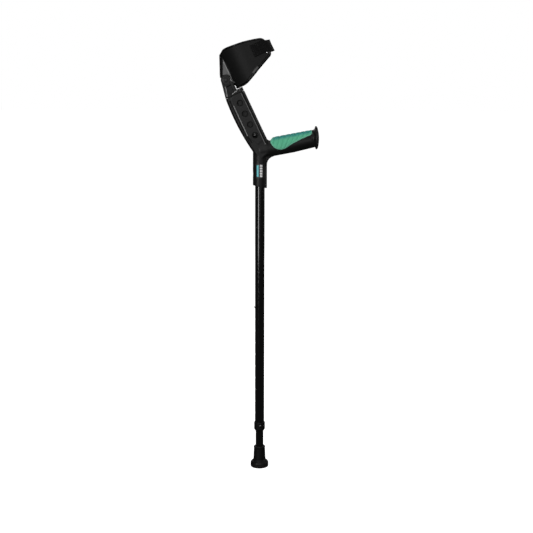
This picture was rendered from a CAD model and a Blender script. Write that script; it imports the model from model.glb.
import math

import bmesh
import bpy
from mathutils import Matrix, Vector


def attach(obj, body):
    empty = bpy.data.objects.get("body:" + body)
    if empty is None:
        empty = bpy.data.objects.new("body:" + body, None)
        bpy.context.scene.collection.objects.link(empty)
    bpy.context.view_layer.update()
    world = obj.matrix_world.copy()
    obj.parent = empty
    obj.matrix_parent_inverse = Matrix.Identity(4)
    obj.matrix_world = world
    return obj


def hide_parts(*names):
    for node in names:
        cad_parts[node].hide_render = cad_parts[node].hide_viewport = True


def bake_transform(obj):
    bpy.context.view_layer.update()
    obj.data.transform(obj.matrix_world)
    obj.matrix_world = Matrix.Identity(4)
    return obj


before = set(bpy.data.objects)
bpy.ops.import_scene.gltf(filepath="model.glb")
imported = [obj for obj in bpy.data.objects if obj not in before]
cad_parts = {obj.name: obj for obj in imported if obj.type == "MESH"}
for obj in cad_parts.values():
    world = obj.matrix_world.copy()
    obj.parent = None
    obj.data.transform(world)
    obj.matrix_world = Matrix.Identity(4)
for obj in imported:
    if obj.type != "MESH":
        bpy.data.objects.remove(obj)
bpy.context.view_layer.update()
mm = 0.001
scene = bpy.context.scene

# Frames of the two tilted parts: w forward, y across and a along the forearm; along, across and up on the grip
axes = {"junction": 0.696, "armTilt": 25.5, "gripDrop": 3.9 * mm, "gripTilt": 10.7}
armFrame = (Matrix.Translation((0, 0, axes["junction"]))
            @ Matrix.Rotation(-math.radians(axes["armTilt"]), 4, "Y"))
gripFrame = (Matrix.Translation((0, 0, axes["junction"] - axes["gripDrop"]))
             @ Matrix.Rotation(-math.radians(axes["gripTilt"]), 4, "Y"))
toArm, toGrip = armFrame.inverted(), gripFrame.inverted()


# Shader sums
class Wire:                                   # a socket that can be added, multiplied and so on
    def __init__(self, graph, socket):
        self.graph = graph
        self.socket = socket

    def do(self, operation, *others):
        return self.graph.node("ShaderNodeMath", {"operation": operation}, [self, *others])

    def __add__(self, other):
        return self.do("ADD", other)

    def __sub__(self, other):
        return self.do("SUBTRACT", other)

    def __mul__(self, other):
        return self.do("MULTIPLY", other)

    def __truediv__(self, other):
        return self.do("DIVIDE", other)

    def __rsub__(self, other):
        return self.graph.node("ShaderNodeMath", {"operation": "SUBTRACT"}, [other, self])

    def __pow__(self, other):
        return self.do("POWER", other)

    __radd__ = __add__
    __rmul__ = __mul__

    def clamped(self):
        return self.graph.node("ShaderNodeClamp", {}, [self, 0.0, 1.0])

    def step(self, low, high):                # 0 below low, 1 above high, smooth between
        return self.graph.node("ShaderNodeMapRange", {"interpolation_type": "SMOOTHSTEP"},
                               [self, low, high, 0.0, 1.0])


class Graph:                                  # the nodes of one material, or of the world
    def __init__(self, owner):
        self.owner = owner
        owner.use_nodes = True
        self.tree = owner.node_tree
        self.tree.nodes.clear()

    def node(self, kind, settings=None, sockets=None, out=0):
        made = self.tree.nodes.new(kind)
        for key, value in (settings or {}).items():
            setattr(made, key, value)
        pairs = sockets.items() if isinstance(sockets, dict) else enumerate(sockets or [])
        for key, value in pairs:
            if isinstance(value, Wire):
                self.tree.links.new(value.socket, made.inputs[key])
            elif value is not None:
                made.inputs[key].default_value = value
        return Wire(self, made.outputs[out]) if made.outputs else None

    def place(self):                          # metres, in the crutch's own frame
        return self.node("ShaderNodeTexCoord", {}, {}, "Object")

    def turned(self, tilt, drop=0.0):         # the same, in a frame that leans back by tilt degrees
        moved = self.node("ShaderNodeVectorMath", {"operation": "SUBTRACT"},
                          [self.place(), (0, 0, axes["junction"] - drop)])
        return self.node("ShaderNodeVectorRotate", {"rotation_type": "Y_AXIS"},
                         {"Vector": moved, "Angle": math.radians(tilt)})

    def split(self, vector):
        parts = self.node("ShaderNodeSeparateXYZ", {}, [vector]).socket.node.outputs
        return [Wire(self, part) for part in parts]

    def noise(self, scale, detail=3.0, roughness=0.5, vector=None):
        return self.node("ShaderNodeTexNoise", {}, {"Vector": vector or self.place(), "Scale": scale,
                                                    "Detail": detail, "Roughness": roughness})

    def mix(self, factor, first, second):
        return self.node("ShaderNodeMix", {"data_type": "RGBA"}, {0: factor, 6: first, 7: second}, 2)

    def bump(self, height, distance, strength):
        return self.node("ShaderNodeBump", {}, {"Height": height, "Distance": distance, "Strength": strength})

    def stroke(self, x, y, points, half, soft=0.35 * mm):   # 1 within half of a chain of points
        gap = None
        for (ax, ay), (bx, by) in zip(points, points[1:]):
            ax, ay, bx, by = ax * mm, ay * mm, bx * mm, by * mm
            reach = (bx - ax) ** 2 + (by - ay) ** 2
            t = (((x - ax) * (bx - ax) + (y - ay) * (by - ay)) / reach).clamped()
            there = (((x - ax - t * (bx - ax)) ** 2) + ((y - ay - t * (by - ay)) ** 2)) ** 0.5
            gap = there if gap is None else gap.do("MINIMUM", there)
        return gap.step(half * mm + soft, half * mm - soft)

    def ring(self, x, y, centre, radius, half, soft=0.35 * mm):   # 1 on a circle's line
        there = (((x - centre[0] * mm) ** 2) + ((y - centre[1] * mm) ** 2)) ** 0.5
        return (there - radius * mm).do("ABSOLUTE").step(half * mm + soft, half * mm - soft)

    def finish(self, **sockets):              # the shader, on the material's surface
        names = {key: key.replace("_", " ") for key in sockets}
        shader = self.node("ShaderNodeBsdfPrincipled", {},
                           {names[key]: value for key, value in sockets.items()})
        self.node("ShaderNodeOutputMaterial", {}, {"Surface": shader})
        return self.owner


def grey(value, warm=1.0):
    return (value * warm, value, value / warm, 1)


# Finishes, each from a dictionary of its own look
def mouldedPlastic(name, look, extra=None):   # satin nylon: fine spark grain, cloudy sheen, rubbed edges
    g = Graph(bpy.data.materials.new(name))
    cloud = g.noise(look["cloud"], 4.0, 0.6)
    grain = g.noise(look["grain"], 2.0, 0.7)
    rubbed = g.node("ShaderNodeNewGeometry", {}, {}, "Pointiness").step(0.505, 0.58)
    colour = g.mix(cloud.step(0.3, 0.7), grey(look["dark"]), grey(look["light"]))
    colour = g.mix(rubbed * look["edge"], colour, grey(look["worn"]))
    dust = g.noise(look["grain"] * 0.35, 2.0, 0.5).step(0.66, 0.78)
    colour = g.mix(dust * 0.25, colour, grey(look["worn"]))
    rough = look["rough"] + (cloud - 0.5) * 0.12 + (grain - 0.5) * 0.1
    if extra:
        colour, rough = extra(g, colour, rough)
    return g.finish(Base_Color=colour, Roughness=rough, Normal=g.bump(grain, look["depth"], 0.6),
                    IOR=1.5, Specular_IOR_Level=look["specular"])


bodyLook = {"dark": 0.006, "light": 0.010, "worn": 0.06, "edge": 0.8, "cloud": 22, "grain": 1500,
            "depth": 0.05 * mm, "rough": 0.42, "specular": 0.22}
cuffLook = {"dark": 0.008, "light": 0.012, "worn": 0.03, "edge": 0.5, "cloud": 16, "grain": 1900,
            "depth": 0.04 * mm, "rough": 0.55, "specular": 0.16}


# lines on the cuff, the sleeve and the slider's neck: (forward, along the forearm) in millimetres
curl = [(6.6, 156), (5.4, 150), (7.4, 146), (11.6, 142)]
pivotSpot = (-3.9, 155.3)
cuffLines = {
    "lowBorder": [(14, 131.4), (27, 131.6), (33, 132.8), (39, 135.5), (97, 161.6)],
    "topBorder": [(14, 211.0), (26, 212.2), (45, 210.0), (58, 208.4), (71, 205.9), (84, 202.7), (93, 199.6)],
    "shine": [(54, 144.6), (66, 150.0)],
    "webEdge": [(7.6, 190), (7.9, 160), (7, 150), (11.5, 142)],
    "tab": [(100, 170.4), (69.6, 170.4), (69.6, 196)],
    "lip": 3.6,
}
sleeveMarks = {
    "rearShine": [(-12.0, 100), (-12.5, 34)],
    "frontShine": [(13.0, 118), (13.7, 60), (13.4, 5)],
    "shineEnd": [(13.4, 3.2), (13.9, 2.6)],
    "rearGroove": [(-14.6, 112), (-15.2, 14)],
    "frontGroove": [(16.2, 118), (16.4, 6)],
    "relief": [(-12.8, 31), (-10.6, 17.5)],
    "dimple": (-14.6, 111.5),
    "hole": (2.3, 27.8), "pitch": 24.2, "rim": 5.3, "spark": (-1.9, 23.6),
}
neckMarks = {
    "rearStrip": [(-11.0, 142.4), (-13.4, 133.5), (-15.7, 124.2)],
    "crescent": [(-3.6, 123.3), (0.8, 124.9), (7.6, 125.5)],
    "frontTick": [(13.1, 127.0), (13.1, 121.8)],
    "hubTick": [(-4.4, 157.2), (-2.6, 158.0)],
    "slant": [(-13.5, 150.4), (-5, 147.2), (1, 144.6), (8, 138), (14.6, 129.4)],
    "shoulder": [(-13, 121.6), (11, 121.6)],
    "pocketEdge": [(-9, 139), (-11, 128), (-5, 126.5)],
}


def webSheen(g, colour, rough):               # paler web between the pivot and the cuff's back
    w, y, a = g.split(g.turned(axes["armTilt"]))
    hub = (((w - pivotSpot[0] * mm) ** 2 + (a - pivotSpot[1] * mm) ** 2) ** 0.5).step(10.6 * mm, 11.4 * mm)
    rear = (w - (a - 0.171) * 0.49).step(-3.5 * mm, -2.5 * mm)
    web = y.do("ABSOLUTE").step(6.6 * mm, 6.2 * mm) * w.step(12.5 * mm, 11.5 * mm) * a.step(0.139, 0.143)
    pale = web * rear * hub
    edge = g.stroke(w, a, cuffLines["webEdge"], 0.7)
    tail = g.stroke(w, a, curl, 0.7) * y.do("ABSOLUTE").step(14 * mm, 13 * mm)
    lower = g.stroke(w, a, cuffLines["lowBorder"], 2.9)
    upper = g.stroke(w, a, cuffLines["topBorder"], 1.5)
    shine = g.stroke(w, a, cuffLines["shine"], 1.2, 2.2 * mm)
    tab = g.stroke(w, a, cuffLines["tab"], 0.35)
    lip = g.stroke(w, a, [(x, z + cuffLines["lip"]) for x, z in cuffLines["lowBorder"]], 0.3, 0.5 * mm)
    colour = g.mix(lip * 0.7, colour, grey(0.03))
    colour = g.mix((lower + upper + tab).clamped(), colour, grey(0.0012))
    colour = g.mix(shine, colour, grey(0.16))
    colour = g.mix(pale, colour, grey(0.17))
    return g.mix((pale * edge + tail).clamped(), colour, grey(0.36)), rough - pale * 0.15


def sleeveLines(g, colour, rough):            # bright panel edges, dark grooves and hole rims
    m = sleeveMarks
    w, y, a = g.split(g.turned(axes["armTilt"]))
    side = y.do("ABSOLUTE").step(12.6 * mm, 13.2 * mm)
    light = g.stroke(w, a, m["rearShine"], 0.9) * 0.8 + g.stroke(w, a, m["frontShine"], 0.5) * 0.7
    light = (light + g.stroke(w, a, m["shineEnd"], 0.9) * 0.8).clamped() * side
    dark = (g.stroke(w, a, m["rearGroove"], 0.9) + g.stroke(w, a, m["frontGroove"], 1.0)
            + g.ring(w, a, m["dimple"], 1.5, 0.7) + g.stroke(w, a, m["relief"], 1.3))
    for hole in range(4):
        up = m["pitch"] * hole
        dark = dark + g.ring(w, a, (m["hole"][0], m["hole"][1] + up), m["rim"], 1.5)
        if hole:                              # the lowest hole is filled by its button
            light = light + g.ring(w, a, (m["spark"][0], m["spark"][1] + up), 0.0, 0.9) * side * 0.6
    dark = dark.clamped() * side
    band = a.step(3 * mm, 9 * mm) * w.step(16.2 * mm, 17.2 * mm) * 0.5
    colour = g.mix(band, colour, grey(0.06))
    colour = g.mix(side * w.do("ABSOLUTE").step(12.8 * mm, 12.2 * mm) * 0.5, colour, grey(0.022))
    colour = g.mix(light.clamped(), colour, grey(0.3))
    return g.mix(dark * 0.9, colour, grey(0.0012)), rough + dark * 0.3 - light * 0.1


def neckLines(g, colour, rough):              # polished bevels round the neck's pocket, dark creases
    m = neckMarks
    w, y, a = g.split(g.turned(axes["armTilt"]))
    side = y.do("ABSOLUTE").step(6.5 * mm, 7 * mm)
    light = (g.stroke(w, a, m["rearStrip"], 1.1) + g.stroke(w, a, m["crescent"], 0.8)
             + g.stroke(w, a, curl, 0.6) + g.stroke(w, a, m["frontTick"], 0.5) * 0.4
             + g.stroke(w, a, m["hubTick"], 0.5) * 0.5)
    dark = (g.stroke(w, a, m["slant"], 0.7) + g.stroke(w, a, m["shoulder"], 0.8)
            + g.ring(w, a, pivotSpot, 10.2, 0.6) + g.ring(w, a, pivotSpot, 4.8, 0.5)
            + g.stroke(w, a, m["pocketEdge"], 1.6))
    pocket = w.step(-11.5 * mm, -10.5 * mm) * w.step(1.5 * mm, 0.5 * mm)
    pocket = pocket * a.step(0.125, 0.126) * a.step(0.142, 0.141)
    light = light.clamped() * side
    dark = dark.clamped() * side
    colour = g.mix(pocket * 0.8, colour, (0.0016, 0.0017, 0.0026, 1))
    colour = g.mix(dark * 0.85, colour, grey(0.0015))
    return g.mix(light, colour, grey(0.34)), rough - light * 0.15


def glossBlack(name, look):                   # anodised tube: faint drawn streaks under a hard, clear shine
    g = Graph(bpy.data.materials.new(name))
    stretched = g.node("ShaderNodeVectorMath", {"operation": "MULTIPLY"}, [g.place(), (1, 1, look["draw"])])
    streak = g.noise(look["streak"], 3.0, 0.6, stretched)
    cloud = g.noise(30, 3.0, 0.5)
    specks = g.noise(700, 1.0, 0.5).step(0.72, 0.8)
    colour = g.mix(streak, grey(look["dark"]), grey(look["light"]))
    colour = g.mix(specks * 0.2, colour, grey(0.02))
    rough = look["rough"] + (streak - 0.5) * 0.03 + (cloud - 0.5) * 0.03
    return g.finish(Base_Color=colour, Roughness=rough, Specular_IOR_Level=0.5, Coat_Weight=look["coat"],
                    Coat_Roughness=0.06)


def rubber(name, look):                       # matt rubber with a faint bloom and moulding pores
    g = Graph(bpy.data.materials.new(name))
    cloud = g.noise(40, 4.0, 0.6)
    pores = g.noise(1300, 2.0, 0.6)
    low = g.split(g.place())[2].step(12 * mm, 1 * mm)
    colour = g.mix(cloud.step(0.35, 0.7), grey(look["dark"]), grey(look["light"]))
    colour = g.mix(low * cloud * 0.5, colour, grey(0.05, 1.05))
    if "shine" in look:                       # rubbed paler along the middle of one stretch
        w, y, a = g.split(g.turned(axes["armTilt"]))
        colour = g.mix(g.stroke(w, a, look["shine"], 1.0, 2.2 * mm), colour, grey(0.16))
    return g.finish(Base_Color=colour, Roughness=look["rough"] + (pores - 0.5) * 0.15,
                    Normal=g.bump(pores, 0.08 * mm, 0.7), Specular_IOR_Level=0.25)


def softGrip(name, look):                     # green elastomer: teal along the top, paler rim, clean ridges
    g = Graph(bpy.data.materials.new(name))
    up = g.split(g.turned(axes["gripTilt"], axes["gripDrop"]))[2]
    ridge = g.node("ShaderNodeAttribute", {"attribute_name": "ridge"}, {}, "Fac")
    border = g.node("ShaderNodeAttribute", {"attribute_name": "border"}, {}, "Fac")
    cloud = g.noise(60, 3.0, 0.5)
    pores = g.noise(1500, 2.0, 0.6)
    colour = g.mix(up.step(11 * mm, 17.5 * mm), look["side"], look["top"])
    colour = g.mix(ridge.step(0.75, 0.1) * 0.5, colour, look["valley"])
    colour = g.mix(border * 0.85, colour, look["rim"])
    colour = g.mix((cloud - 0.3).clamped() * 0.2, colour, look["top"])
    return g.finish(Base_Color=colour, Roughness=0.5 + (pores - 0.5) * 0.15,
                    Normal=g.bump(pores, 0.05 * mm, 0.5), Specular_IOR_Level=0.4)


def metal(name, look):                        # steel with a turned or drawn grain
    g = Graph(bpy.data.materials.new(name))
    grain = g.noise(look["grain"], 3.0, 0.6)
    cloud = g.noise(90, 3.0, 0.5)
    colour = g.mix(cloud, look["dark"], look["light"])
    return g.finish(Base_Color=colour, Metallic=1.0, Roughness=look["rough"] + (grain - 0.5) * 0.12,
                    Normal=g.bump(grain, 0.01 * mm, 0.4))


def nylon(name, look):                        # natural nylon, slightly yellowed
    g = Graph(bpy.data.materials.new(name))
    cloud = g.noise(80, 3.0, 0.5)
    grain = g.noise(1200, 2.0, 0.6)
    return g.finish(Base_Color=g.mix(cloud, look["dark"], look["light"]),
                    Roughness=0.45 + (grain - 0.5) * 0.1, Normal=g.bump(grain, 0.03 * mm, 0.5))


def buttonGloss(name, look):                  # hard glossy cap with hairline rub marks
    g = Graph(bpy.data.materials.new(name))
    hair = g.noise(500, 5.0, 0.7)
    colour = g.mix(hair.step(0.4, 0.7), grey(look["dark"]), grey(look["light"]))
    return g.finish(Base_Color=colour, Roughness=look["rough"] + (hair - 0.5) * 0.08, Coat_Weight=0.6,
                    Coat_Roughness=0.08, Normal=g.bump(hair, 0.01 * mm, 0.3))


def webbing(name, look):                      # woven band: ribs along it, weft across, selvedge at both sides
    g = Graph(bpy.data.materials.new(name))
    along, across = g.split(g.node("ShaderNodeUVMap"))[:2]
    passes = along * (math.pi / look["weft"])
    warp = (across * (math.pi / look["warp"])).do("SINE").do("ABSOLUTE")
    weft = passes.do("SINE").do("ABSOLUTE")
    shift = ((across / look["warp"]).do("FLOOR") * (math.pi / 2) + passes).do("SINE").do("ABSOLUTE")
    thread = warp * 0.5 + shift * 0.4 + weft * 0.1
    fuzz = g.noise(1600, 3.0, 0.7)
    edge = (across - look["half"]).do("ABSOLUTE").step(look["half"] - 1.6 * mm, look["half"] - 0.9 * mm)
    colour = g.mix(thread, grey(look["dark"]), grey(look["light"]))
    colour = g.mix(fuzz.step(0.55, 0.75) * 0.35, colour, grey(0.04))
    colour = g.mix(edge * 0.5, colour, grey(look["dark"]))
    height = thread * (1 - edge) + fuzz * 0.3
    return g.finish(Base_Color=colour, Roughness=0.82 - thread * 0.1, Normal=g.bump(height, 0.25 * mm, 0.8),
                    Sheen_Weight=0.03, Sheen_Roughness=0.5, Specular_IOR_Level=0.12)


def hookFace(name, look):                     # rows of tiny hooks
    g = Graph(bpy.data.materials.new(name))
    dots = g.node("ShaderNodeTexVoronoi", {"feature": "F1"},
                  {"Vector": g.place(), "Scale": 900.0, "Randomness": 0.35})
    colour = g.mix(dots.step(0.1, 0.5), grey(look["light"]), grey(look["dark"]))
    return g.finish(Base_Color=colour, Roughness=0.6 + dots * 0.2, Normal=g.bump(1 - dots, 0.3 * mm, 0.9))


def knit(name, look):                         # foam-backed jersey: small loops, soft nap
    g = Graph(bpy.data.materials.new(name))
    w, y, a = g.split(g.turned(axes["armTilt"]))
    turn = y.do("ARCTAN2", look["centre"] - w) * look["radius"]
    rows = (a * (math.pi / look["stitch"])).do("SINE").do("ABSOLUTE")
    columns = (turn * (math.pi / look["stitch"])).do("SINE").do("ABSOLUTE")
    loops = rows * columns
    fuzz = g.noise(1400, 3.0, 0.7)
    colour = g.mix(loops, grey(look["dark"]), grey(look["light"]))
    colour = g.mix(fuzz.step(0.5, 0.8) * 0.3, colour, grey(0.05))
    return g.finish(Base_Color=colour, Roughness=0.9 - fuzz * 0.1,
                    Normal=g.bump(loops + fuzz * 0.4, 0.3 * mm, 0.8), Sheen_Weight=0.25, Sheen_Roughness=0.4,
                    Specular_IOR_Level=0.2)


def plate(name, look):                        # printed maker's plate: a plain bar and five plain squares
    g = Graph(bpy.data.materials.new(name))
    x, y, z = g.split(g.place())
    grain = g.noise(1500, 2.0, 0.7)
    up = z - look["low"]
    bar = (x - look["barX"]).do("ABSOLUTE").step(2.05 * mm, 1.8 * mm)
    bar = bar * (up - look["middle"]).do("ABSOLUTE").step(12 * mm, 11.6 * mm)
    row = ((up - look["first"]) / look["pitch"] + 0.5).do("FRACT") - 0.5
    square = (row * look["pitch"]).do("ABSOLUTE").step(2.2 * mm, 1.95 * mm)
    square = square * (x - look["squareX"]).do("ABSOLUTE").step(2.8 * mm, 2.5 * mm)
    square = square * up.step(1.6 * mm, 1.7 * mm) * up.step(28.5 * mm, 28.4 * mm)
    colour = g.mix(grain.step(0.3, 0.7), grey(0.012), grey(0.016))
    colour = g.mix(bar, colour, look["teal"])
    colour = g.mix(square, colour, grey(0.92))
    ink = (bar + square).clamped()
    return g.finish(Base_Color=colour, Roughness=0.45 - ink * 0.12,
                    Normal=g.bump(ink * 2 + grain * 0.4, 0.08 * mm, 0.6))


paint = {
    "mouldedBlack": mouldedPlastic("satin black nylon", bodyLook),
    "sleeveBlack": mouldedPlastic("satin black handle", bodyLook, sleeveLines),
    "neckBlack": mouldedPlastic("satin black slider", bodyLook, neckLines),
    "cuffBlack": mouldedPlastic("satin black cuff", cuffLook, webSheen),
    "tubeBlack": glossBlack("gloss black anodising", {"dark": 0.0022, "light": 0.0045, "draw": 0.03,
                                                      "streak": 700, "rough": 0.17, "coat": 0.4}),
    "rubber": rubber("matt black rubber", {"dark": 0.003, "light": 0.006, "rough": 0.5}),
    "edging": rubber("black edging", {"dark": 0.0012, "light": 0.0025, "rough": 0.3,
                                      "shine": cuffLines["shine"]}),
    "green": softGrip("green elastomer", {"side": (0.13, 0.60, 0.35, 1), "top": (0.05, 0.37, 0.32, 1),
                                          "valley": (0.07, 0.38, 0.22, 1), "rim": (0.20, 0.62, 0.42, 1)}),
    "spring": metal("spring steel", {"dark": (0.42, 0.42, 0.43, 1), "light": grey(0.6), "grain": 900,
                                     "rough": 0.3}),
    "bright": metal("polished steel", {"dark": (0.6, 0.6, 0.61, 1), "light": grey(0.78), "grain": 1500,
                                       "rough": 0.16}),
    "stud": metal("dull steel", {"dark": grey(0.3), "light": grey(0.42), "grain": 1200, "rough": 0.35}),
    "nylon": nylon("white nylon", {"dark": (0.62, 0.61, 0.56, 1), "light": (0.75, 0.74, 0.7, 1)}),
    "button": buttonGloss("glossy dark button", {"dark": 0.0015, "light": 0.003, "rough": 0.1}),
    "web": webbing("black webbing", {"dark": 0.002, "light": 0.006, "warp": 1.1 * mm, "weft": 0.9 * mm,
                                     "half": 12.25 * mm}),
    "hooks": hookFace("hook face", {"dark": 0.01, "light": 0.03}),
    "thread": rubber("black thread", {"dark": 0.02, "light": 0.03, "rough": 0.55}),
    "knit": knit("knitted lining", {"dark": 0.006, "light": 0.014, "stitch": 1.6 * mm,
                                    "centre": 0.0565, "radius": 0.042}),
    "plate": plate("printed plate", {"low": 0.633, "middle": 15 * mm, "first": 4.2 * mm, "pitch": 5.4 * mm,
                                     "barX": -4.6 * mm, "squareX": 2.6 * mm, "teal": (0.10, 0.64, 0.70, 1)}),
}
print("finishes:", len(paint))


# Making and placing pieces
def toObject(bm, name, finish):
    bmesh.ops.recalc_face_normals(bm, faces=bm.faces)
    mesh = bpy.data.meshes.new(name)
    bm.to_mesh(mesh)
    bm.free()
    mesh.materials.append(paint[finish])
    mesh.shade_smooth()
    made = bpy.data.objects.new(name, mesh)
    scene.collection.objects.link(made)
    return made


def applied(piece):                           # bakes the live modifiers into the mesh
    view = bpy.context.evaluated_depsgraph_get()
    mesh = bpy.data.meshes.new_from_object(piece.evaluated_get(view))
    piece.modifiers.clear()
    old = piece.data
    piece.data = mesh
    bpy.data.meshes.remove(old)
    mesh.shade_smooth()
    return piece


def place(piece, body, node=None):      # which body it rides, its material slot, the node it replaces
    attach(piece, body)
    if node:
        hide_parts(node)


def merged(node):                             # a watertight copy of a CAD node
    bm = bmesh.new()
    bm.from_mesh(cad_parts[node].data)
    bmesh.ops.remove_doubles(bm, verts=bm.verts, dist=0.004 * mm)
    return bm


def moulded(node, name, finish, look):        # the CAD node with the soft edges of a moulding
    piece = toObject(merged(node), name, finish)
    skin = piece.modifiers.new("skin", "REMESH")
    skin.mode = "VOXEL"
    skin.voxel_size = look["voxel"]
    skin.use_smooth_shade = True
    soft = piece.modifiers.new("soft", "SMOOTH")
    soft.factor = 0.5
    soft.iterations = look["soft"]
    return applied(piece)


def calm(piece, weight, turns):               # smooths only where weight(point) says
    group = piece.vertex_groups.new(name="calm")
    for v in piece.data.vertices:
        share = weight(v.co)
        if share > 0:
            group.add([v.index], share, "REPLACE")
    soft = piece.modifiers.new("calm", "SMOOTH")
    soft.factor = 0.5
    soft.iterations = turns
    soft.vertex_group = "calm"
    applied(piece)
    piece.vertex_groups.clear()


def thinned(piece, most):
    count = sum(len(p.vertices) - 2 for p in piece.data.polygons)
    if count > most:
        fewer = piece.modifiers.new("fewer", "DECIMATE")
        fewer.ratio = most / count
        applied(piece)
    print(piece.name, "triangles", min(count, most))


def ramp(value, low, high):
    t = min(1.0, max(0.0, (value - low) / (high - low)))
    return t * t * (3 - 2 * t)


# handle: the moulding, its inner corners rounded
handleSetup = {"voxel": 0.55 * mm, "soft": 3, "most": 185000, "turns": 60, "nose": 0.6}
handle = moulded("handle_body", "handleMoulding", "sleeveBlack", handleSetup)


def junctionShare(p):                         # round the inner corners where grip, sleeve and socket meet
    q = toGrip @ p
    under = (ramp(p.x, 4 * mm, 12 * mm) * ramp(p.x, 44 * mm, 34 * mm) * ramp(p.z, 0.655, 0.664)
             * ramp(q.z, -6 * mm, -10 * mm))
    nose = (ramp(abs(p.y), 8 * mm, 11 * mm) * ramp(p.x, -16 * mm, -8 * mm) * ramp(p.x, 16 * mm, 10 * mm)
            * ramp(abs(q.z), 24 * mm, 18 * mm))
    return max(under, nose * handleSetup["nose"])


calm(handle, junctionShare, handleSetup["turns"])
thinned(handle, handleSetup["most"])
place(handle, "upper_leg", "handle_body")
print("handle done")

# soft insert: ridges that fan along the grip, a flat rim round them
insertSetup = {"voxel": 0.6 * mm, "soft": 2, "most": 120000, "tall": 19.2, "wide": 15.5, "pitch": 9.2 * mm,
               "high": 0.75 * mm, "low": 0.28 * mm, "lean": 0.62, "leanStart": 0.15, "rim": 2.2 * mm,
               "rimDrop": 0.1 * mm}
insert = moulded("grip_insert", "gripInsert", "green", insertSetup)


def outline(points):                          # (along, height) points, from millimetres
    return [(x * mm, y * mm) for x, y in points]


def arcPoints(x, y, r, start, end, n=10):
    return [(x + r * math.cos(math.radians(start + (end - start) * i / n)),
             y + r * math.sin(math.radians(start + (end - start) * i / n))) for i in range(n + 1)]


def nearestGap(x, y, points):                 # distance to a chain of straight pieces
    best = 1.0
    for (ax, ay), (bx, by) in zip(points, points[1:]):
        dx, dy = bx - ax, by - ay
        t = max(0.0, min(1.0, ((x - ax) * dx + (y - ay) * dy) / (dx * dx + dy * dy)))
        best = min(best, math.hypot(x - ax - t * dx, y - ay - t * dy))
    return best


insertEdge = outline([(36, 25), (30.2, 19.2)] + arcPoints(45.8, 13.7, 21.6, 180, 286, 14)
                     + [(69.9, 0.3), (88, 5.9), (103.8, 9.3)] + arcPoints(105.8, 16.7, 7, -70, 0, 6)
                     + [(112.8, 25)])
ridges, borders, lifts = [], [], []
normals = [v.normal.copy() for v in insert.data.vertices]
for v in insert.data.vertices:
    q = toGrip @ v.co
    tall, wide = insertSetup["tall"], insertSetup["wide"]
    turn = math.atan2(q.y / wide, -q.z / tall)
    fromAxis = math.hypot(q.z / (tall * mm), q.y / (wide * mm * (1 + 0.1 * math.cos(turn))))
    outer = ramp(fromAxis, 0.95, 0.99)
    gap = nearestGap(q.x, q.z, insertEdge)
    lean = insertSetup["lean"] * ramp(q.x, 5 * mm, 90 * mm) + insertSetup["leanStart"]
    wave = (q.x - lean * q.z) / insertSetup["pitch"]
    hump = abs(math.sin(math.pi * wave)) ** 0.7
    fine = abs(math.sin(math.pi * wave * 2)) ** 0.8
    inside = ramp(gap, insertSetup["rim"] * 0.7, insertSetup["rim"] * 1.25)
    lift = inside * (insertSetup["high"] * (hump - 0.55) + insertSetup["low"] * (fine - 0.5))
    lifts.append((lift - (1 - inside) * insertSetup["rimDrop"]) * outer)
    ridges.append(inside * (0.65 * hump + 0.35 * fine) + (1 - inside))
    borders.append((1 - inside) * outer)
for v, normal, lift in zip(insert.data.vertices, normals, lifts):
    v.co += normal * lift
for name, values in (("ridge", ridges), ("border", borders)):
    insert.data.attributes.new(name, "FLOAT", "POINT").data.foreach_set("value", values)
thinned(insert, insertSetup["most"])
place(insert, "upper_leg", "grip_insert")
print("insert done")

# ferrule: one turned profile
ferruleSetup = {"base": 19.4, "neck": 12.15, "foot": 13.1, "top": 46.8, "bore": 8.35, "floor": 12.5,
                "steps": 96}
base, neck, foot = ferruleSetup["base"], ferruleSetup["neck"], ferruleSetup["foot"]
top, bore, floor = ferruleSetup["top"], ferruleSetup["bore"], ferruleSetup["floor"]
tread = [(0.01, 0), (5.4, 0), (5.6, 1), (7.2, 1), (7.4, 0), (9.1, 0), (9.3, 1), (10.9, 1), (11.1, 0),
         (12.9, 0), (13.1, 1), (14.7, 1), (14.9, 0), (base - 2.6, 0)]
shoulder = [(16.3, 13.3), (16.1, 13.6), (15.6, 13.5), (15.0, 14.2), (14.4, 15.0), (13.9, 15.9), (13.0, 16.5),
            (12.75, 17.2), (12.8, 18.2), (13.3, 18.9), (foot, 20), (foot - 0.1, 23), (12.7, 32)]
lip = [(neck - 0.1, 42.2), (neck - 0.05, 43.2), (neck + 0.3, 43.7), (neck + 0.35, 44.8), (neck - 0.1, 45.9),
       (neck - 0.9, 46.6), (neck - 1.9, top)]
inside = [(bore + 0.8, top), (bore, 46.1), (bore, floor + 0.4), (bore - 0.4, floor), (0.01, floor)]
profile = (tread + arcPoints(base - 2.2, 2.2, 2.2, -90, -10, 6) + [(base, 4.2)]
           + arcPoints(base - 6, 8.2, 6, 0, 52, 8) + shoulder + lip + inside)
bm = bmesh.new()
chain = [bm.verts.new((r * mm, 0, z * mm)) for r, z in profile]
edges = [bm.edges.new(pair) for pair in zip(chain, chain[1:])]
bmesh.ops.spin(bm, geom=chain + edges, cent=(0, 0, 0), axis=(0, 0, 1), angle=math.tau,
               steps=ferruleSetup["steps"], use_merge=True)
bmesh.ops.remove_doubles(bm, verts=bm.verts, dist=0.02 * mm)
ferrule = toObject(bm, "ferruleRubber", "rubber")
place(ferrule, "lower_leg", "ferrule")
print("ferrule done")

# slider and its pivot
sliderSetup = {"voxel": 0.75 * mm, "soft": 3, "most": 150000}
slider = moulded("cuff_slider", "sliderMoulding", "neckBlack", sliderSetup)
thinned(slider, sliderSetup["most"])
place(slider, "slider", "cuff_slider")

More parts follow.
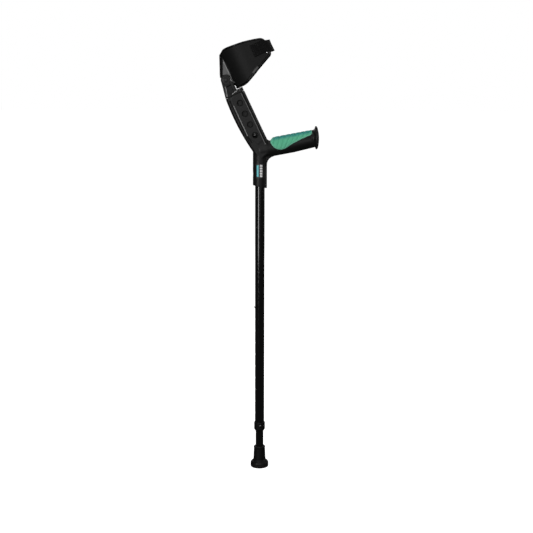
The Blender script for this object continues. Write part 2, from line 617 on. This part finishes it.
pivotSetup = {"face": 12 * mm, "rings": (7.9, 9.4), "bead": 0.45 * mm}
bm = bmesh.new()
for side in (-1, 1):
    for radius in pivotSetup["rings"]:
        start = bmesh.ops.create_circle(bm, segments=10, radius=pivotSetup["bead"])["verts"]
        lay = Matrix.Translation((radius * mm, 0, 0)) @ Matrix.Rotation(math.pi / 2, 4, "X")
        bmesh.ops.transform(bm, matrix=lay, verts=start)
        loop = [e for e in bm.edges if e.verts[0] in start]
        bmesh.ops.spin(bm, geom=start + loop, cent=(0, 0, 0), axis=(0, 0, 1), angle=math.tau, steps=64,
                       use_merge=True)
    whole = [v for v in bm.verts if not v.tag]
    hub = Vector((pivotSpot[0] * mm, side * pivotSetup["face"], pivotSpot[1] * mm))
    stand = armFrame @ Matrix.Translation(hub) @ Matrix.Rotation(math.pi / 2, 4, "X")
    bmesh.ops.transform(bm, matrix=stand, verts=whole)
    for v in whole:
        v.tag = True
bmesh.ops.remove_doubles(bm, verts=bm.verts, dist=0.01 * mm)
place(toObject(bm, "pivotBeads", "mouldedBlack"), "slider")
print("slider done")

# cuff: moulded shell, rolled edge, padded lining
cuffSetup = {"voxel": 1.0 * mm, "soft": 5, "most": 150000, "back": 9.0, "centre": 56.5, "tip": 103.4,
             "low": 128.7, "top": 213.0, "wingLow": 163.6, "wingTop": 196.6}
shell = moulded("cuff_shell", "cuffMoulding", "cuffBlack", cuffSetup)
thinned(shell, cuffSetup["most"])
place(shell, "cuff", "cuff_shell")

# its two edges, (forward, along the forearm) in millimetres
back, centre, tip = cuffSetup["back"], cuffSetup["centre"], cuffSetup["tip"]
low, wingLow = cuffSetup["low"], cuffSetup["wingLow"]
top, wingTop = cuffSetup["top"], cuffSetup["wingTop"]
lowEdge = [(back, low), (back + 18, low), (back + 24, low + 1.2), (back + 30.4, low + 4),
           (98.8, wingLow - 4.2)]
topEdge = [(back, top - 7), (back + 2, top - 4.5), (back + 6, top - 1.8), (back + 12, top - 0.2),
           (back + 17, top), (back + 36, top - 2.1), (back + 49, top - 3.7), (back + 62, top - 6.2),
           (back + 75, top - 9.4), (92.8, wingTop + 4.6)]


def along(points, x):
    for (x0, y0), (x1, y1) in zip(points, points[1:]):
        if x <= x1:
            return y0 + (y1 - y0) * (x - x0) / (x1 - x0)
    return points[-1][1]


edgeSetup = {"radius": 46.0, "low": 2.9, "slim": 0.7, "top": 2.2}


def rimPath():                                # (w, y, a, thickness) round one wing, low back to top back
    radius, lowThick, topThick = edgeSetup["radius"], edgeSetup["low"], edgeSetup["top"]
    turns = [math.radians(90 * k / 24) for k in range(25)]
    path = []
    for t in turns:
        w, y = centre - radius * math.cos(t), -radius * math.sin(t)
        thick = lowThick - edgeSetup["slim"] * ramp(-y, 17, 13)   # slimmer where the neck passes
        path.append((w, y, along(lowEdge, w) + lowThick * 0.92, thick))
    for w in (62, 68, 74, 80, 86, 92):
        path.append((w, -radius, along(lowEdge, w) + lowThick * 1.1, lowThick))
    for w, a in arcPoints(tip - 8, wingLow + 3, 8 - lowThick * 0.9, -65, 0, 8):
        path.append((w, -radius, a, lowThick))
    for w, a in arcPoints(tip - 14, wingTop - 9, 14 - topThick * 0.9, 0, 76, 10):
        path.append((w, -radius, a, topThick))
    for w in (88, 82, 76, 70, 64, 58):
        path.append((w, -radius, along(topEdge, w) - topThick * 0.9, topThick))
    for t in reversed(turns):
        w, y = centre - radius * math.cos(t), -radius * math.sin(t)
        path.append((w, y, along(topEdge, w) - topThick * 0.95, topThick))
    return path


near = rimPath()
rim = near + [(w, -y, a, r) for w, y, a, r in reversed(near)][1:-1]
line = bpy.data.curves.new("cuffEdging", "CURVE")
line.dimensions = "3D"
line.bevel_depth = mm
line.bevel_resolution = 5
strand = line.splines.new("POLY")
strand.points.add(len(rim) - 1)
for point, (w, y, a, r) in zip(strand.points, rim):
    point.co = (*(armFrame @ Vector((w * mm, y * mm, a * mm))), 1)
    point.radius = r
strand.use_cyclic_u = True
bead = bpy.data.objects.new("cuffEdgingLine", line)
scene.collection.objects.link(bead)
view = bpy.context.evaluated_depsgraph_get()
bm = bmesh.new()
bm.from_mesh(bpy.data.meshes.new_from_object(bead.evaluated_get(view)))
bpy.data.objects.remove(bead)
bmesh.ops.remove_doubles(bm, verts=bm.verts, dist=0.01 * mm)
for turn in range(2):
    bmesh.ops.smooth_vert(bm, verts=bm.verts, factor=0.3, use_axis_x=True, use_axis_y=True, use_axis_z=True)
place(toObject(bm, "cuffEdging", "edging"), "cuff")
print("cuff done")

# lining: two layers sewn along their rim and along four seams, then puffed
padSetup = {"radius": 42.3, "front": 88.0, "inset": 4.6, "corner": 6, "thick": 1.25, "thin": 0.5,
            "across": 132, "up": 40, "seams": (0.2, 0.4, 0.6, 0.8), "frames": 12, "pressure": 4.0,
            "most": 0.7 * mm, "seat": 43.9}
padRadius, padFront = padSetup["radius"], padSetup["front"]
thick, thin = padSetup["thick"], padSetup["thin"]
halfRound = math.pi * padRadius / 2
straight = padFront - centre
reachAll = 2 * (halfRound + straight)


def padPoint(s, t, depth):                    # s across the cuff, -0.5 to 0.5, t up it, depth outwards
    arm = abs(s) * reachAll
    radius = padRadius + depth
    if arm < halfRound:
        turn = arm / padRadius
        w, y = centre - radius * math.cos(turn), radius * math.sin(turn)
        flat = centre - padRadius * math.cos(turn)
    else:
        w, y = centre + arm - halfRound, radius
        flat = w
    cut = padSetup["corner"]
    corner = cut * (1 - math.sqrt(max(0.0, 1 - ramp(w, padFront - cut, padFront) ** 2)))
    lower = along(lowEdge, max(flat, back + 2)) + padSetup["inset"] + corner
    upper = along(topEdge, max(flat, back + 2)) - padSetup["inset"] - corner
    return armFrame @ Vector((w * mm, math.copysign(y, s) * mm, (lower + (upper - lower) * t) * mm))


def padHalf(i, j):                            # half the thickness: full between seams, thin along them
    across, up = i / padSetup["across"], j / padSetup["up"]
    gaps = [across, 1 - across, up * 0.36, (1 - up) * 0.36]
    gaps += [abs(across - seam) for seam in padSetup["seams"]]
    return thin + (thick - thin) * math.sqrt(ramp(min(gaps), 0, 0.035))


bm = bmesh.new()
nx, ny = padSetup["across"], padSetup["up"]
layers = [[[bm.verts.new(padPoint(i / nx - 0.5, j / ny, side * padHalf(i, j))) for j in range(ny + 1)]
           for i in range(nx + 1)] for side in (-1, 1)]
pinned = {layers[k][i][j] for k in (0, 1) for i in range(nx + 1) for j in range(ny + 1)
          if padHalf(i, j) < thin + 0.1 * (thick - thin)}
for layer in layers:
    for i in range(nx):
        for j in range(ny):
            bm.faces.new([layer[i][j], layer[i + 1][j], layer[i + 1][j + 1], layer[i][j + 1]])
around = ([(i, 0) for i in range(nx)] + [(nx, j) for j in range(ny)]
          + [(i, ny) for i in range(nx, 0, -1)] + [(0, j) for j in range(ny, 0, -1)])
for (i, j), (m, n) in zip(around, around[1:] + around[:1]):
    bm.faces.new([layers[0][i][j], layers[0][m][n], layers[1][m][n], layers[1][i][j]])
bm.verts.index_update()
held = sorted(v.index for v in pinned)
pad = toObject(bm, "cuffLining", "knit")


def swollen(piece, held, look):               # cloth under slight pressure, its moves capped
    group = piece.vertex_groups.new(name="held")
    group.add(held, 1.0, "REPLACE")
    rest = [v.co.copy() for v in piece.data.vertices]
    cloth = piece.modifiers.new("cloth", "CLOTH")
    cloth.settings.use_pressure = True
    cloth.settings.uniform_pressure_force = look["pressure"]
    cloth.settings.vertex_group_mass = "held"
    cloth.settings.quality = 5
    cloth.settings.effector_weights.gravity = 0
    cloth.point_cache.frame_end = look["frames"]
    for turn in range(1, look["frames"] + 1):
        scene.frame_set(turn)
    applied(piece)
    scene.frame_set(1)
    piece.vertex_groups.clear()
    for v, old in zip(piece.data.vertices, rest):
        move = v.co - old
        if move.length > look["most"]:
            v.co = old + move * (look["most"] / move.length)


swollen(pad, held, padSetup)
for v in pad.data.vertices:                   # no further out than the shell's inner face
    q = toArm @ v.co / mm
    out = Vector((min(q.x - centre, 0), q.y))
    if out.length > padSetup["seat"]:
        keep = padSetup["seat"] / out.length
        q.x = centre + out.x * keep if q.x < centre else q.x
        q.y *= keep
        v.co = armFrame @ (q * mm)
rounded = pad.modifiers.new("rounded", "SUBSURF")
rounded.levels = rounded.render_levels = 1
applied(pad)
place(pad, "cuff", "cuff_lining")
print("lining done")

# strap: a woven band round the wing tips, its tab closed on the near side
strapSetup = {"middle": 182.8, "wide": 24.5, "drop": 4.0, "tabBack": 70.9, "farBack": 84.2, "side": 49.6,
              "tip": 103.2, "turnBack": 3.4, "bend": 3.0, "bulge": 7.6, "sag": 1.2, "ripple": 0.35,
              "thick": 1.7 * mm, "round": 0.35 * mm, "across": 14, "steps": 60}
flank, strapTip, strapWide = strapSetup["side"], strapSetup["tip"], strapSetup["wide"]
tabBack, farBack = strapSetup["tabBack"], strapSetup["farBack"]


def bandPath(steps):                          # (w, y) from the tab's end round the front to the far side
    bulge, bend = strapSetup["bulge"], strapSetup["bend"]
    turnAt = strapTip - strapSetup["turnBack"]
    big = (flank ** 2 + bulge ** 2) / (2 * bulge)
    middle = strapTip + 0.8 + bulge - big
    half = math.asin(flank / big)
    points = [(tabBack + (turnAt - tabBack) * i / 24, -flank) for i in range(25)]
    for i in range(1, 9):
        t = math.radians(i / 9 * 78)
        points.append((turnAt + bend * math.sin(t) * 1.25, -flank + bend * (1 - math.cos(t)) * 0.9))
    for i in range(steps + 1):
        t = -half * 0.94 + 2 * half * 0.94 * i / steps
        points.append((middle + big * math.cos(t), big * math.sin(t)))
    points += [(w, -y) for w, y in reversed(points[25:33])]
    points += [(turnAt - (turnAt - farBack) * i / 14, flank) for i in range(15)]
    return points


route = bandPath(strapSetup["steps"])
reach = [0.0]
for (ax, ay), (bx, by) in zip(route, route[1:]):
    reach.append(reach[-1] + math.hypot(bx - ax, by - ay))
bm = bmesh.new()
bmesh.ops.create_grid(bm, x_segments=len(route) - 1, y_segments=strapSetup["across"], size=0.5)
sheet = bm.loops.layers.uv.new("UVMap")
spot = {}
for v in bm.verts:
    i, t = round((v.co.x + 0.5) * (len(route) - 1)), v.co.y + 0.5
    w, y = route[i]
    middle = 1 - (y / flank) ** 2             # 1 at the front's middle, 0 along the wings
    drop = strapSetup["drop"] * ramp(w, strapTip - 9, strapTip + 4)
    drop = drop + 0.8 * middle * ramp(w, strapTip, strapTip + 6)
    cup = strapSetup["sag"] * (1 - (2 * t - 1) ** 2) * middle * ramp(w, strapTip, strapTip + 5)
    wave = strapSetup["ripple"] * math.sin(0.11 * reach[i] + 1.1) * (2 * t - 1) * (1 - middle * 0.5)
    wave = wave * ramp(w, tabBack + 4, tabBack + 16)
    spot[v] = (reach[i] * mm, t * strapWide * mm)
    v.co = armFrame @ Vector(((w - cup * 0.4) * mm, (y + math.copysign(max(0.0, wave), y)) * mm,
                              (strapSetup["middle"] - drop + (t - 0.5) * strapWide) * mm))
for face in bm.faces:
    for loop in face.loops:
        loop[sheet].uv = spot[loop.vert]
strap = toObject(bm, "cuffStrap", "web")
skin = strap.modifiers.new("skin", "SOLIDIFY")
skin.thickness = strapSetup["thick"]
skin.offset = 0
edge = strap.modifiers.new("edge", "BEVEL")
edge.width = strapSetup["round"]
edge.segments = 2
edge.limit_method = "ANGLE"
applied(strap)
place(strap, "cuff", "cuff_strap")

# stitching: a box on the tab and another on the far side, each stitch a short bead
stitchSetup = {"pitch": 2.4, "long": 1.7, "radius": 0.28, "flat": 0.75, "proud": 0.86, "inset": 2.2,
               "back": 2, "tabFront": 14, "farFront": 12}
bm = bmesh.new()


def stitches(start, end, y):
    long, radius = stitchSetup["long"], stitchSetup["radius"]
    lie = math.atan2(end[1] - start[1], end[0] - start[0])
    shape = Matrix.Rotation(-lie, 4, "Y") @ Matrix.Diagonal((long / 2 / radius, stitchSetup["flat"], 1, 1))
    count = max(2, round(math.dist(start, end) / stitchSetup["pitch"]))
    for i in range(count):
        f = (i + 0.5) / count
        w, a = start[0] + (end[0] - start[0]) * f, start[1] + (end[1] - start[1]) * f
        made = bmesh.ops.create_uvsphere(bm, u_segments=8, v_segments=6, radius=radius * mm)["verts"]
        lay = armFrame @ Matrix.Translation((w * mm, y * mm, a * mm)) @ shape
        bmesh.ops.transform(bm, matrix=lay, verts=made)


under = strapSetup["middle"] - strapWide / 2 + stitchSetup["inset"]
over = strapSetup["middle"] + strapWide / 2 - stitchSetup["inset"]
outside = flank + stitchSetup["proud"]
for y, rear, front in ((-outside, tabBack + stitchSetup["back"], tabBack + stitchSetup["tabFront"]),
                       (outside, farBack + stitchSetup["back"], farBack + stitchSetup["farFront"])):
    for a in (under, over):
        stitches((rear, a), (front, a), y)
    for w in (rear, front):
        stitches((w, under), (w, over), y)
place(toObject(bm, "strapStitches", "thread"), "cuff")
print("strap done")

# spring leaves: the end behind the button goes in with it, forwards (0) or across (1)
springSetup = {"height_button_spring": ("heightSpring", "lower_leg", "height_button", 0),
               "cuff_button_spring": ("settingSpring", "slider", "setting_button", 1)}
for node, (name, body, button, way) in springSetup.items():
    leaf = toObject(merged(node), name, "spring")
    leaf.data.shade_flat()
    spread = [v.co[way] for v in leaf.data.vertices]
    start, end = [0, 0, 0], [0, 0, 0]
    start[way], end[way] = max(spread), min(spread) + 0.8 * mm
    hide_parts(node)
    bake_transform(leaf)
print("springs done")

# finishes on the CAD nodes that stay
worn = {
    "tubeBlack": ["lower_tube", "upper_tube"],
    "spring": ["ferrule_washer"],
    "bright": ["height_button", "socket_screw", "strap_rivets"],
    "stud": ["collar_stud"],
    "rubber": ["tube_collar"],
    "mouldedBlack": ["tube_plug", "grip_end_cap", "pivot_pin", "pivot_ring"],
    "nylon": ["collar_bush", "lower_tube_guide", "pivot_washers"],
    "button": ["cuff_button"],
    "plate": ["socket_badge"],
    "hooks": ["strap_hook_patch"],
}
for finish, nodes in worn.items():
    for node in nodes:
        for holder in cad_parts[node].material_slots:
            holder.material = paint[finish]

# floor, light and camera
stageSetup = {"size": 40.0, "pale": 0.85, "white": 0.9, "glow": 1.0, "fill": 0.035}
bm = bmesh.new()
bmesh.ops.create_grid(bm, x_segments=1, y_segments=1, size=stageSetup["size"] / 2)
mesh = bpy.data.meshes.new("floor")
bm.to_mesh(mesh)
bm.free()
floor = bpy.data.objects.new("floor", mesh)
scene.collection.objects.link(floor)
g = Graph(bpy.data.materials.new("pale floor"))
tone = g.noise(0.4, 2.0, 0.5) * 0.02 + 0.98
g.finish(Base_Color=g.mix(tone, grey(stageSetup["pale"]), grey(stageSetup["white"])), Roughness=0.9,
         Specular_IOR_Level=0.0, Emission_Color=grey(1.0), Emission_Strength=stageSetup["glow"])
mesh.materials.append(g.owner)
floor.visible_diffuse = floor.visible_glossy = False

sky = Graph(bpy.data.worlds.new("studio"))   # white behind the object, dim on it
scene.world = sky.owner
seen = sky.node("ShaderNodeLightPath", {}, {}, "Is Camera Ray")
plain = sky.node("ShaderNodeBackground", {}, {"Color": grey(1.0)})
soft = sky.node("ShaderNodeBackground", {}, {"Color": grey(1.0), "Strength": stageSetup["fill"]})
sky.node("ShaderNodeOutputWorld", {}, {"Surface": sky.node("ShaderNodeMixShader", {}, [seen, soft, plain])})


def softbox(name, turn, spot, away, size, power):   # a panel turn degrees round from the camera
    data = bpy.data.lights.new(name, "AREA")
    data.shape = "RECTANGLE"
    data.size, data.size_y = size
    data.energy = power
    lamp = bpy.data.objects.new(name, data)
    around = math.radians(turn)
    lamp.location = (-math.sin(around) * away, -math.cos(around) * away, spot[1])
    aim = Vector((0, 0, spot[0])) - lamp.location
    lamp.rotation_euler = aim.to_track_quat("-Z", "Y").to_euler()
    lamp.visible_camera = False
    scene.collection.objects.link(lamp)
    return lamp


# name, degrees round, (height aimed at, own height), distance, (width, height), power
lightSetup = (("softboxLeft", 31, (0.6, 0.66), 1.5, (0.36, 0.92), 8),
              ("softboxRight", -100, (0.7, 0.95), 1.6, (0.35, 0.9), 4),
              ("softboxFront", -8, (0.75, 1.2), 2.8, (2.2, 1.6), 16),
              ("softboxTop", 20, (0.7, 2.4), 0.7, (1.4, 1.0), 9),
              ("softboxBack", 172, (0.7, 1.5), 2.6, (2.0, 1.6), 16))
for panel in lightSetup:
    softbox(*panel)

cameraSetup = {"place": (0.0143, -2.3, 0.86), "tip": 79.75, "roll": 0.155, "lens": 74.4, "sensor": 36}
camera = bpy.data.cameras.new("camera")
camera.lens = cameraSetup["lens"]
camera.sensor_width = cameraSetup["sensor"]
camera.dof.use_dof = False
eye = bpy.data.objects.new("camera", camera)
eye.matrix_world = (Matrix.Translation(cameraSetup["place"])
                    @ Matrix.Rotation(math.radians(cameraSetup["tip"]), 4, "X")
                    @ Matrix.Rotation(math.radians(cameraSetup["roll"]), 4, "Z"))
scene.collection.objects.link(eye)
scene.camera = eye
scene.view_settings.view_transform = "Standard"

print("scene ready")
